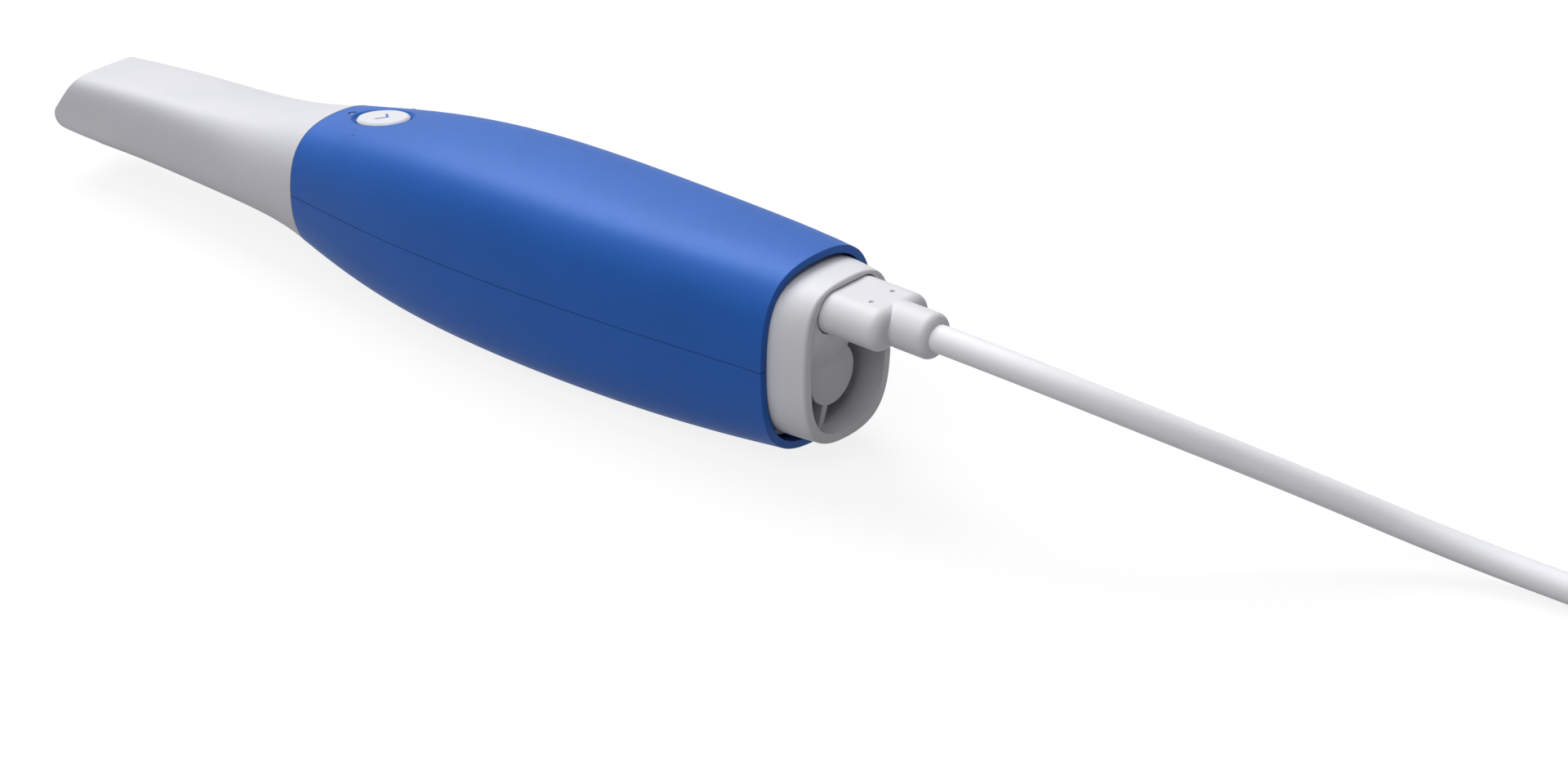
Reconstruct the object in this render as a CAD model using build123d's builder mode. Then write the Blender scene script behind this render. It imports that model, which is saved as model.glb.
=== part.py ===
from build123d import *
from collections import namedtuple
from math import cos, pi, radians, sin, tan
import os

os.makedirs("parts", exist_ok=True)

# Handheld intraoral scanner, in millimetres.
# +X runs along the handpiece to its cable end, +Z is up, and the belly rests on Z = 0.

# Overall sizes
overall_length = 248.0
body_length = 148.0
cap_reach = 8.8
rim_x = overall_length / 2 - cap_reach
joint_x = rim_x - body_length
tip_x = -overall_length / 2
tip_length = joint_x - tip_x

# Cross-sections: rounded outlines in four quarters, which meet at the seam between the case
# halves. A power of 2 is an ellipse, and a higher one is squarer.
Section = namedtuple("Section", "share half_width top bottom top_power bottom_power")
rim_steps = 3

# Body sections, at shares of its length from the rear rim to the joint with the tip
body_sections = [
    Section(0, 18.4, 47.4, 2.6, 2.8, 2.8),
    Section(0.17, 20.0, 47.4, 0.8, 3.1, 3.3),
    Section(0.34, 21.4, 47.1, 0.1, 3.1, 3.6),
    Section(0.51, 22.0, 46.7, 0.0, 3.1, 3.7),
    Section(0.68, 21.4, 45.5, 0.2, 3.0, 3.5),
    Section(0.845, 19.3, 42.5, 1.5, 2.8, 3.1),
    Section(1, 16.3, 38.0, 4.2, 2.6, 2.4),
]
seam_rear = 25.6
seam_front = 22.0

# Tip sections, at shares of its length from the joint to just past the front end
TipSection = namedtuple("TipSection", Section._fields + ("seam",))
tip_sections = [
    TipSection(0, *body_sections[-1][1:], seam_front),
    TipSection(0.13, 15.1, 35.0, 8.1, 2.7, 2.6, 19.8),
    TipSection(0.293, 13.7, 32.3, 10.0, 3.2, 3.4, 18.4),
    TipSection(0.457, 12.6, 30.6, 10.5, 4.0, 4.2, 18.0),
    TipSection(0.674, 11.7, 28.9, 10.7, 4.8, 5.2, 17.8),
    TipSection(1, 10.9, 25.9, 10.9, 5.4, 5.8, 17.0),
]

# Case halves
case_wall = 1.7
seam_gap = 0.15
fit_gap = 0.12
plate_gap = 0.25

# Tip
tip_overrun = 0.8
tip_wall = 1.4
joint_gap = 0.15
tip_slant = 52.0
tip_corner = 3.0
tip_floor = 11.9
tip_step = 16.2
tip_face_wall = 1.6
window_setback = 4.5
window_length = 14.5
window_width = 15.0
window_corner = 2.0
mirror_width = 14.6
mirror_length = 14.5
mirror_thickness = 1.0
mirror_corner = 2.5
mirror_start = 1.0
glue_gap = 0.05

# Nose that carries the tip and the front glass
nose_gap = 0.5
nose_wall = 1.3
nose_share = 0.504
nose_front_wall = 2.6
glass_width = 15.6
glass_height = 11.6
glass_corner = 2.0
glass_thickness = 1.1
glass_ledge = 1.2
optical_height = 20.4
flange_recess = 0.3
flange_thickness = 3.0
seal_start = 5.0
seal_width = 2.0
seal_bite = 0.5
seal_gap = 0.15

# Scan button and its board
button_start = 15.1
button_length = 15.1
button_width = 10.2
button_top = -0.1
button_bevel = 0.5
button_gap = 0.25
button_travel = 0.5
dish_length = 18.4
dish_width = 12.6
dish_depth = 0.9
seat_depth = 2.8
seat_margin = 2.6
seat_top = 1.3
gasket_depth = 0.8
lip_gap = 0.1
gasket_width = 1.3
button_lip = 0.85
button_lip_thickness = 0.8
plunger_diameter = 4.0
plunger_end = 6.0
switch_gap = 0.15
switch_size = 6.0
switch_height = 1.8
actuator_diameter = 3.2
button_board_depth = 9.2
button_board_length = 26.0
button_board_width = 20.0
board_thickness = 1.0
post_diameter = 3.4
post_spacing = 16.4
light_start = 4.6
light_diameter = 1.6
light_recess = 0.45

# End cap
cap_half_width = 16.5
cap_rear_half_width = 14.4
cap_rim_taper = 0.28
cap_top = 44.5
cap_bottom = 6.2
cap_side_wall = 2.2
cap_top_wall = 1.2
cap_bottom_wall = 2.2
cap_depth = 6.0
cap_plate = 2.0
cap_edge_round = 0.6
cap_seam_drop = 0.7
cap_straight_end = 1.0
cap_power_top = 3.2
cap_power_bottom = 2.8
hub_radius = 7.1
hub_height = 20.0
hub_setback = 4.6
hub_thickness = 2.4
strut_width = 1.6
strut_angles = (52.0, -108.0)
web_edge = 1.2
web_drop = 1.0
web_rise = 3.0
socket_setback = 0.4
pocket_depth = 7.8
pocket_floor = 2.5
pocket_wall = 1.2
cutout_height = 6.5

# Fan behind the end cap
fan_size = 25.0
fan_depth = 10.0
fan_bore = 23.4
fan_gap = 2.2
fan_hole_pitch = 20.0
fan_hole = 3.2
fan_corner = 2.0
fan_wall_overlap = 0.6
spider_arm = 1.6
peg_diameter = 2.8
peg_shoulder = 4.2
peg_grip = 9.0
fan_back_wall = 1.2
blade_count = 7
blade_thickness = 0.9
blade_tip_gap = 0.4
blade_pitch = 38.0
blade_chord = 8.0
rotor_hub = 13.4
rotor_wall = 1.0
rotor_setback = 0.6
shaft_end_gap = 0.2
shaft_diameter = 2.0
bearing_gap = 0.03
bearing_diameter = 4.4
bearing_length = 5.0
boss_wall = 0.9
stator_diameter = 10.4
stator_poles = 6
stator_core = 1.0
stator_margin = 0.4

# Plug, its socket and the cable
plug_height = 9.6
plug_width = 19.2
plug_level = 38.15
plug_gap = 0.3
plug_seat_gap = 0.5
plug_reach = 24.0
plug_end_round = 2.6
neck_diameter = 10.3
neck_reach = 33.3
neck_round = 1.8
neck_root = 1.0
dimple_diameter = 1.1
dimple_depth = 0.35
dimple_spacing = 6.9
dimple_back = 18.0
shell_width = 8.25
shell_height = 2.4
shell_length = 6.5
shell_wall = 0.3
shell_root = 0.7
socket_gap = 0.06
socket_length = 9.0
socket_wall = 0.35
socket_back = 1.0
tongue_width = 6.6
tongue_thickness = 0.7
tongue_length = 7.0
socket_board_length = 23.0
socket_board_width = 16.0
board_clearance = 0.8
cable_diameter = 6.2
cord_share = 0.45
coil_outer = 43.1
coil_inner = 24.5
coil_layers = 4
coil_round = 3.0
coil_gap = 0.3
far_plug_length = 24.0
far_plug_width = 12.0
far_plug_height = 7.0
far_plug_corner = 2.4
far_neck_diameter = 7.4
far_neck_length = 10.0

# Electronics and optics inside
chassis_level = 11.5
chassis_plate = 2.0
chassis_half_width = 11.0
chassis_corner = 2.0
cable_space = 16.5
rail_wall = 1.6
rail_height = 10.5
rail_start = 38.0
rail_setback = 2.0
foot_diameter = 6.0
foot_spacing = 14.0
foot_inset = 17.0
foot_gap = 0.2
optics_gap = 1.0
projector_length = 26.0
projector_width = 9.0
projector_height = 14.0
camera_width = 7.0
camera_length = 14.0
camera_height = 13.0
camera_spacing = 16.8
lens_diameter = 6.0
projector_lens_diameter = 8.4
lens_length = 8.0
housing_chamfer = 0.7
lens_round = 0.5
sink_length = 40.0
sink_base = 2.5
fin_count = 7
fin_thickness = 1.0
main_board_thickness = 1.6
main_board_half_width = 13.0
chip_height = 1.4
chip_size = 11.0
chip_pitch = 15.0
small_chip_size = 5.5
small_chip_spacing = 19.0
board_corner = 1.5
pad_thickness = 0.5
pad_margin = 2.5

# Screws
screw_diameter = 2.0
screw_head = 3.6
screw_head_height = 1.4
screw_length = 6.0
screw_clearance = 0.15


def seam_level(x):
    """Height of the seam plane at a place along the body."""
    return seam_rear + (seam_front - seam_rear) * (rim_x - x) / body_length


def pull(power):
    """How far a quarter's control points reach, so that it passes a super-ellipse's middle."""
    return (8 * 2 ** (-1 / power) - 4) / 3


def cross_section(x, shape, seam, inset=0.0):
    """Closed outline across the handpiece, drawn inwards by the inset."""
    side = shape.half_width - inset
    above = shape.top - inset - seam
    below = seam - shape.bottom - inset
    high = pull(shape.top_power)
    low = pull(shape.bottom_power)
    with BuildLine(Plane.YZ.offset(x)) as outline:
        for turn, rise, reach in ((1, above, high), (-1, -below, low)):
            right = turn * side
            Bezier(
                (right, seam),
                (right, seam + reach * rise),
                (reach * right, seam + rise),
                (0, seam + rise),
            )
            Bezier(
                (0, seam + rise),
                (-reach * right, seam + rise),
                (-right, seam + reach * rise),
                (-right, seam),
            )
    return Face(outline.wire())


def rounded_end(x, radius, shape_at, seam):
    """Last stretch of a form, rounded over towards its end face at x."""
    outlines = []
    for step in range(rim_steps + 1):
        turn = pi / 2 * step / rim_steps
        before = radius * (1 - sin(turn))
        outlines.append(
            cross_section(x - before, shape_at(before), seam, radius * (1 - cos(turn)))
        )
    with BuildPart(mode=Mode.PRIVATE) as end:
        loft(outlines, clean=False)
    return end.part


def half_section(x, shape, seam, upward, inset=0.0):
    """Closed outline of the part above or below the seam, drawn inwards by the inset."""
    side = shape.half_width - inset
    if upward:
        rise = shape.top - inset - seam
        reach = pull(shape.top_power)
    else:
        rise = shape.bottom + inset - seam
        reach = pull(shape.bottom_power)
    with BuildLine(Plane.YZ.offset(x)) as outline:
        Bezier(
            (side, seam), (side, seam + reach * rise), (reach * side, seam + rise), (0, seam + rise)
        )
        Bezier(
            (0, seam + rise),
            (-reach * side, seam + rise),
            (-side, seam + reach * rise),
            (-side, seam),
        )
        Line((-side, seam), (side, seam))
    return Face(outline.wire())


def half_body(upward, inset=0.0):
    """Solid form of one half of the body, drawn inwards by the inset."""
    shift = seam_gap / 2 if upward else -seam_gap / 2
    outlines = []
    for shape in body_sections:
        x = rim_x - shape.share * body_length
        outlines.append(half_section(x, shape, seam_level(x) + shift, upward, inset))
    with BuildPart(mode=Mode.PRIVATE) as form:
        loft(outlines, clean=False)
    return form.part


def tip_form(inset=0.0, start=joint_gap):
    """Solid form of the tip before its front is cut, drawn inwards by the inset."""
    outlines = []
    for shape in tip_sections:
        x = joint_x - start - shape.share * (tip_length + tip_overrun)
        outlines.append(cross_section(x, shape, shape.seam, inset))
    with BuildPart(mode=Mode.PRIVATE) as form:
        loft(outlines, clean=False)
    return form.part


def tip_profile(margin):
    """Side view of the tip's front: a slanted face, a round corner and a step below."""
    radius = tip_corner - margin
    corner_x = tip_x + tip_corner
    corner_z = tip_floor + tip_corner
    slant = radians(tip_slant)
    touch_x = corner_x - radius * sin(slant)
    touch_z = corner_z + radius * cos(slant)
    high = 1.2 * body_sections[-1].top
    floor_z = tip_floor + margin
    step_x = tip_x + tip_step
    with BuildSketch(Plane.XZ) as profile:
        with BuildLine():
            Polyline(
                (joint_x, high),
                (touch_x + (high - touch_z) / tan(slant), high),
                (touch_x - (touch_z - floor_z) / tan(slant), floor_z),
                (step_x, floor_z),
                (step_x, -1),
                (joint_x, -1),
                close=True,
            )
        make_face()
        fillet(profile.vertices().sort_by(Axis.X)[0], radius)
    return profile.sketch


def save(part, name):
    """Label a finished piece and write it to its own file."""
    part.label = name
    export_step(part, f"parts/{name}.step")


# Plane of the scan button: on the top of the body, square to its surface
surface_hits = half_body(upward=True).find_intersection_points(
    Axis((joint_x + button_start, 0, 0), (0, 0, 1))
)
surface_point, surface_normal = max(surface_hits, key=lambda hit: hit[0].Z)
if surface_normal.Z < 0:
    surface_normal = -surface_normal
button_plane = Plane(
    origin=surface_point,
    x_dir=(surface_normal.Z, 0, -surface_normal.X),
    z_dir=surface_normal,
)
light_offset = (light_start - button_start) / surface_normal.Z

# Lower case half
with BuildPart() as lower_case:
    add(half_body(upward=False))
    add(half_body(upward=False, inset=case_wall), mode=Mode.SUBTRACT)
save(lower_case.part, "lower_case")

# Upper case half, with the button's dish and seat, two posts and the light hole
with BuildPart() as upper_case:
    add(half_body(upward=True))
    add(half_body(upward=True, inset=case_wall), mode=Mode.SUBTRACT)
    with BuildSketch(button_plane.offset(-seat_depth)):
        Ellipse(button_length / 2 + seat_margin, button_width / 2 + seat_margin)
    extrude(amount=seat_depth - seat_top)
    with BuildSketch(button_plane.offset(-button_board_depth)):
        with GridLocations(0, post_spacing, 1, 2):
            Circle(post_diameter / 2)
    extrude(amount=button_board_depth - seat_top)
    with BuildSketch(button_plane.offset(-dish_depth)):
        Ellipse(dish_length / 2 - dish_depth, dish_width / 2 - dish_depth)
    extrude(amount=2 * dish_depth, taper=-45, mode=Mode.SUBTRACT)
    with BuildSketch(button_plane):
        Ellipse(button_length / 2 + button_gap, button_width / 2 + button_gap)
    extrude(amount=-seat_depth, mode=Mode.SUBTRACT)
    with BuildSketch(button_plane.offset(-seat_depth)):
        Ellipse(button_length / 2 + gasket_width, button_width / 2 + gasket_width)
    extrude(amount=gasket_depth, mode=Mode.SUBTRACT)
    with BuildSketch(button_plane):
        with Locations((light_offset, 0)):
            Circle(light_diameter / 2 + fit_gap)
    extrude(amount=seat_depth, both=True, mode=Mode.SUBTRACT)
    with BuildSketch(button_plane.offset(-button_board_depth)):
        with GridLocations(0, post_spacing, 1, 2):
            Circle(screw_diameter / 4)
    extrude(amount=screw_length, mode=Mode.SUBTRACT)
save(upper_case.part, "upper_case")

# Scan button: an oval cap, a lip that holds it in and a plunger over the switch
lip_top = -seat_depth - lip_gap
with BuildPart() as scan_button:
    with BuildSketch(button_plane.offset(button_top)):
        Ellipse(button_length / 2, button_width / 2)
    extrude(amount=lip_top - button_top)
    button_axis = Axis(button_plane.origin, button_plane.z_dir)
    chamfer(scan_button.faces().sort_by(button_axis)[-1].edges(), button_bevel)
    with BuildSketch(button_plane.offset(lip_top)):
        Ellipse(button_length / 2 + button_lip, button_width / 2 + button_lip)
    extrude(amount=-button_lip_thickness)
    with BuildSketch(button_plane.offset(lip_top - button_lip_thickness)):
        Circle(plunger_diameter / 2)
    extrude(amount=-(plunger_end + lip_top - button_lip_thickness))
save(scan_button.part, "scan_button")

# Silicone gasket around the button, in its seat
with BuildPart() as button_gasket:
    with BuildSketch(button_plane.offset(-seat_depth + gasket_depth)):
        Ellipse(
            button_length / 2 + gasket_width - fit_gap,
            button_width / 2 + gasket_width - fit_gap,
        )
        Ellipse(
            button_length / 2 + button_gap,
            button_width / 2 + button_gap,
            mode=Mode.SUBTRACT,
        )
    extrude(amount=-(gasket_depth - fit_gap / 2))
save(button_gasket.part, "button_gasket")

# Board under the button, with its switch and two screws
with BuildPart() as button_board:
    with BuildSketch(button_plane.offset(-button_board_depth)):
        RectangleRounded(button_board_length, button_board_width, board_corner)
        with GridLocations(0, post_spacing, 1, 2):
            Circle(screw_diameter / 2 + screw_clearance, mode=Mode.SUBTRACT)
    extrude(amount=-board_thickness)
save(button_board.part, "button_board")

switch_top = plunger_end + button_travel + switch_gap
with BuildPart() as button_switch:
    with BuildSketch(button_plane.offset(-button_board_depth)):
        Rectangle(switch_size, switch_size)
    extrude(amount=switch_height)
    with BuildSketch(button_plane.offset(-button_board_depth + switch_height)):
        Circle(actuator_diameter / 2)
    extrude(amount=button_board_depth - switch_height - switch_top)
save(button_switch.part, "button_switch")

with BuildPart() as button_screws:
    with BuildSketch(button_plane.offset(-button_board_depth - board_thickness)):
        with GridLocations(0, post_spacing, 1, 2):
            Circle(screw_head / 2)
    extrude(amount=-screw_head_height)
    with BuildSketch(button_plane.offset(-button_board_depth - board_thickness)):
        with GridLocations(0, post_spacing, 1, 2):
            Circle(screw_diameter / 4 - fit_gap / 2)
    extrude(amount=screw_length)
save(button_screws.part, "button_screws")

# Light pipe from the board to the small hole in front of the button
with BuildPart() as status_light:
    with BuildSketch(button_plane.offset(-button_board_depth + fit_gap)):
        with Locations((light_offset, 0)):
            Circle(light_diameter / 2)
    extrude(amount=button_board_depth - fit_gap - light_recess)
    with BuildSketch(button_plane.offset(-button_board_depth + fit_gap)):
        with Locations((light_offset, 0)):
            Circle(light_diameter)
    extrude(amount=board_thickness)
save(status_light.part, "status_light")

# Hollow tip: slanted front, scan window below, open at the rear
with BuildPart() as tip_housing:
    add(tip_form())
    add(
        extrude(tip_profile(0), amount=overall_length, both=True, mode=Mode.PRIVATE),
        mode=Mode.INTERSECT,
    )
with BuildPart() as tip_hollow:
    add(tip_form(tip_wall))
    add(
        extrude(
            tip_profile(tip_face_wall), amount=overall_length, both=True, mode=Mode.PRIVATE
        ),
        mode=Mode.INTERSECT,
    )
window_x = tip_x + window_setback + window_length / 2
with BuildPart() as tip_whole:
    add(tip_housing.part)
    add(tip_hollow.part, mode=Mode.SUBTRACT)
    with BuildSketch(Plane.XY):
        with Locations((window_x, 0)):
            RectangleRounded(window_length, window_width, window_corner)
    extrude(amount=tip_floor + 2 * tip_wall, mode=Mode.SUBTRACT)
save(tip_whole.part, "tip_housing")

# Mirror on the inside of the slanted face
slant_angle = radians(tip_slant)
face_radius = tip_corner - tip_face_wall
face_point = Vector(
    tip_x + tip_corner - face_radius * sin(slant_angle),
    0,
    tip_floor + tip_corner + face_radius * cos(slant_angle),
)
mirror_plane = Plane(
    origin=face_point,
    x_dir=(cos(slant_angle), 0, sin(slant_angle)),
    z_dir=(sin(slant_angle), 0, -cos(slant_angle)),
)
with BuildPart() as tip_mirror:
    with BuildSketch(mirror_plane.offset(glue_gap)):
        with Locations((mirror_length / 2 - mirror_start, 0)):
            RectangleRounded(mirror_length, mirror_width, mirror_corner)
    extrude(amount=mirror_thickness)
    add(tip_hollow.part, mode=Mode.INTERSECT)
    add(tip_form(tip_wall + fit_gap), mode=Mode.INTERSECT)
save(tip_mirror.part, "tip_mirror")

# Nose barrel with its flange, glass seat and seal groove
nose_inset = tip_wall + nose_gap
nose_front_x = joint_x - nose_share * tip_length
flange_x = joint_x + flange_recess
nose_base = cross_section(joint_x, body_sections[-1], seam_front, nose_inset)
nose_bore = cross_section(joint_x, body_sections[-1], seam_front, nose_inset + nose_wall)
flange_outline = cross_section(
    flange_x, body_sections[-1], seam_front, case_wall + fit_gap
)
with BuildPart() as seal_groove:
    add(tip_form(0))
    add(tip_form(nose_inset + seal_bite + glue_gap), mode=Mode.SUBTRACT)
    split(bisect_by=Plane.YZ.offset(joint_x - seal_start), keep=Keep.BOTTOM)
    split(bisect_by=Plane.YZ.offset(joint_x - seal_start - seal_width), keep=Keep.TOP)
with BuildPart() as nose_cavity:
    add(tip_form(nose_inset + nose_wall, start=0))
    split(bisect_by=Plane.YZ.offset(nose_front_x + nose_front_wall), keep=Keep.TOP)
with BuildPart() as nose_barrel:
    add(tip_form(nose_inset, start=0))
    split(bisect_by=Plane.YZ.offset(nose_front_x), keep=Keep.TOP)
    add(extrude(nose_base, amount=flange_recess, mode=Mode.PRIVATE))
    add(extrude(flange_outline, amount=flange_thickness, mode=Mode.PRIVATE))
    add(nose_cavity.part, mode=Mode.SUBTRACT)
    add(
        extrude(nose_bore, amount=flange_recess + flange_thickness, mode=Mode.PRIVATE),
        mode=Mode.SUBTRACT,
    )
    add(seal_groove.part, mode=Mode.SUBTRACT)
    glass_plane = Plane.YZ.offset(nose_front_x)
    with BuildSketch(glass_plane):
        with Locations((0, optical_height)):
            RectangleRounded(
                glass_width + 2 * fit_gap, glass_height + 2 * fit_gap, glass_corner
            )
    extrude(amount=glass_thickness + fit_gap, mode=Mode.SUBTRACT)
    with BuildSketch(glass_plane):
        with Locations((0, optical_height)):
            RectangleRounded(
                glass_width - 2 * glass_ledge,
                glass_height - 2 * glass_ledge,
                glass_corner - glass_ledge / 2,
            )
    extrude(amount=2 * nose_front_wall, mode=Mode.SUBTRACT)
save(nose_barrel.part, "nose_barrel")

with BuildPart() as nose_window:
    with BuildSketch(glass_plane.offset(fit_gap)):
        with Locations((0, optical_height)):
            RectangleRounded(glass_width, glass_height, glass_corner)
    extrude(amount=glass_thickness)
save(nose_window.part, "nose_window")

with BuildPart() as nose_seal:
    add(tip_form(tip_wall + seal_gap))
    add(tip_form(nose_inset + seal_bite), mode=Mode.SUBTRACT)
    split(bisect_by=Plane.YZ.offset(joint_x - seal_start - glue_gap), keep=Keep.BOTTOM)
    split(bisect_by=Plane.YZ.offset(joint_x - seal_start - seal_width + glue_gap), keep=Keep.TOP)
save(nose_seal.part, "nose_seal")

# Chassis: a plate on four feet, with two rails for the main board. It reaches from the nose
# to the space for the cables in front of the fan.
cap_x = rim_x - cap_depth
fan_x = cap_x - fan_gap - fan_depth
chassis_x = joint_x + flange_recess + flange_thickness
chassis_length = fan_x - cable_space - chassis_x
chassis_top = chassis_level + chassis_plate
rail_top = chassis_top + rail_height
rail_x = joint_x + rail_start
rail_length = chassis_x + chassis_length - rail_setback - rail_x
with BuildPart() as feet:
    with BuildSketch(Plane.XY):
        with Locations((chassis_x + chassis_length / 2, 0)):
            with GridLocations(chassis_length - 2 * foot_inset, foot_spacing, 2, 2):
                Circle(foot_diameter / 2)
    extrude(amount=chassis_level)
    add(half_body(upward=False, inset=case_wall + foot_gap), mode=Mode.INTERSECT)
with BuildPart() as chassis:
    with BuildSketch(Plane.XY.offset(chassis_level)):
        with Locations((chassis_x + chassis_length / 2, 0)):
            RectangleRounded(chassis_length, 2 * chassis_half_width, chassis_corner)
    extrude(amount=chassis_plate)
    add(feet.part)
    with BuildSketch(Plane.XY.offset(chassis_top)):
        with Locations((rail_x + rail_length / 2, 0)):
            with GridLocations(0, 2 * chassis_half_width - rail_wall, 1, 2):
                Rectangle(rail_length, rail_wall)
    extrude(amount=rail_height)
    with BuildSketch(Plane.XZ):
        with Locations((rail_x + rail_length / 2, chassis_top + rail_height / 2)):
            with GridLocations(rail_length / 4, 0, 3, 1):
                SlotOverall(rail_length / 6, rail_height / 2)
    extrude(amount=2 * chassis_half_width, both=True, mode=Mode.SUBTRACT)
save(chassis.part, "chassis")

# Light engine in the middle and a camera on each side, all looking out through the nose
optics_x = chassis_x + optics_gap
with BuildPart() as projector_housing:
    with BuildSketch(Plane.XY.offset(chassis_top)):
        with Locations((optics_x + projector_length / 2, 0)):
            Rectangle(projector_length, projector_width)
    extrude(amount=projector_height)
    chamfer(projector_housing.edges().filter_by(Axis.Z), housing_chamfer)
save(projector_housing.part, "projector_housing")

with BuildPart() as projector_lens:
    with BuildSketch(Plane.YZ.offset(optics_x)):
        with Locations((0, optical_height)):
            Circle(projector_lens_diameter / 2)
    extrude(amount=-lens_length)
    fillet(projector_lens.edges().group_by(Axis.X)[0], lens_round)
save(projector_lens.part, "projector_lens")

for side, name in ((1, "left"), (-1, "right")):
    camera_y = -side * camera_spacing / 2
    with BuildPart() as camera:
        with BuildSketch(Plane.XY.offset(chassis_top)):
            with Locations((optics_x + camera_length / 2, camera_y)):
                Rectangle(camera_length, camera_width)
        extrude(amount=camera_height)
        chamfer(camera.edges().filter_by(Axis.Z), housing_chamfer)
    save(camera.part, f"camera_{name}")
    with BuildPart() as camera_lens:
        with BuildSketch(Plane.YZ.offset(optics_x)):
            with Locations((camera_y, optical_height)):
                Circle(lens_diameter / 2)
        extrude(amount=-lens_length)
        fillet(camera_lens.edges().group_by(Axis.X)[0], lens_round)
    save(camera_lens.part, f"camera_lens_{name}")

# Finned heat sink between the rails, under the middle of the main board
sink_width = 2 * (chassis_half_width - rail_wall) - 2 * fit_gap
middle_x = rail_x + rail_length / 2
sink_top = rail_top - pad_thickness
with BuildPart() as heat_sink:
    with BuildSketch(Plane.XY.offset(sink_top)):
        with Locations((middle_x, 0)):
            Rectangle(sink_length, sink_width)
    extrude(amount=-sink_base)
    with BuildSketch(Plane.XY.offset(sink_top - sink_base)):
        with Locations((middle_x, 0)):
            with GridLocations(0, (sink_width - fin_thickness) / (fin_count - 1), 1, fin_count):
                Rectangle(sink_length, fin_thickness)
    extrude(amount=-(sink_top - sink_base - chassis_top))
save(heat_sink.part, "heat_sink")

with BuildPart() as thermal_pad:
    with BuildSketch(Plane.XY.offset(sink_top)):
        with Locations((middle_x, 0)):
            Rectangle(sink_length - 2 * pad_margin, sink_width - 2 * pad_margin)
    extrude(amount=pad_thickness)
save(thermal_pad.part, "thermal_pad")

# Main board on the rails, with its chips
board_top = rail_top + main_board_thickness
with BuildPart() as main_board:
    with BuildSketch(Plane.XY.offset(rail_top)):
        with Locations((rail_x + rail_length / 2, 0)):
            RectangleRounded(rail_length, 2 * main_board_half_width, board_corner)
    extrude(amount=main_board_thickness)
save(main_board.part, "main_board")

with BuildPart() as board_chips:
    with BuildSketch(Plane.XY.offset(board_top)):
        with Locations((middle_x, 0)):
            with GridLocations(chip_pitch, 0, 3, 1):
                Rectangle(chip_size, chip_size)
            with GridLocations(0, small_chip_spacing, 1, 2):
                Rectangle(small_chip_size, small_chip_size)
    extrude(amount=chip_height)
save(board_chips.part, "board_chips")

# End cap: tapered shell, plate inside the body, socket block, fan hub, web and struts
rear_x = rim_x + cap_reach
hub_x = rear_x - hub_setback
pocket_x = rear_x - pocket_depth
cap_seam = seam_rear - cap_seam_drop


def cap_section(x, half_width, side_wall=0.0, top_wall=0.0, bottom_wall=0.0):
    """Outline of the end cap at a place along it, drawn in by its walls."""
    shape = Section(
        0,
        half_width - side_wall,
        cap_top - top_wall,
        cap_bottom + bottom_wall,
        cap_power_top,
        cap_power_bottom,
    )
    return cross_section(x, shape, cap_seam)


def cap_strip(x_start, x_end):
    """Space inside the end cap's walls between two places along it."""
    inner = cap_section(
        x_start, cap_rear_half_width, cap_side_wall, cap_top_wall, cap_bottom_wall
    )
    return extrude(inner, amount=x_end - x_start, mode=Mode.PRIVATE)


def cap_rim_shape(before):
    """Cap section a short way in front of its rear rim."""
    half_width = cap_rear_half_width + cap_rim_taper * before
    return Section(0, half_width, cap_top, cap_bottom, cap_power_top, cap_power_bottom)


with BuildPart() as cap_form:
    loft(
        [
            cap_section(cap_x, cap_half_width),
            cap_section(rim_x - cap_straight_end, cap_half_width),
            cap_section(rear_x - cap_reach / 2, cap_rear_half_width + cap_rim_taper * cap_reach / 2),
            cap_section(rear_x - cap_edge_round, cap_rear_half_width + cap_rim_taper * cap_edge_round),
        ]
    )
    add(rounded_end(rear_x, cap_edge_round, cap_rim_shape, cap_seam))

pocket_bottom = plug_level - plug_height / 2 - plug_gap
block_bottom = pocket_bottom - pocket_wall
block_x = pocket_x - pocket_floor
block_end = rear_x - socket_setback
with BuildPart() as cap_inside:
    # Socket block across the top, down to just under the pocket
    with BuildSketch(Plane.YZ.offset(block_x)):
        with Locations((0, block_bottom)):
            Rectangle(2 * cap_top, cap_top, align=(Align.CENTER, Align.MIN))
    extrude(amount=block_end - block_x)
    # Round hub in the middle of the vent, with two struts
    with BuildSketch(Plane.YZ.offset(hub_x - hub_thickness)):
        with Locations((0, hub_height)):
            Circle(hub_radius)
        for angle in strut_angles:
            with Locations(Location((0, hub_height), angle)):
                Rectangle(cap_top, strut_width, align=(Align.MIN, Align.CENTER))
    extrude(amount=hub_thickness)
    # Sloping web from the socket block down to the hub
    with BuildSketch(Plane.XZ.offset(-web_edge)):
        with BuildLine():
            Polyline(
                (hub_x - hub_thickness, hub_height - web_drop),
                (hub_x, hub_height - web_drop),
                (hub_x, hub_height + web_rise),
                (block_end, block_bottom),
                (hub_x - hub_thickness, block_bottom),
                close=True,
            )
        make_face()
    extrude(amount=cap_top)
    add(cap_strip(cap_x, rear_x), mode=Mode.INTERSECT)

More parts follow.
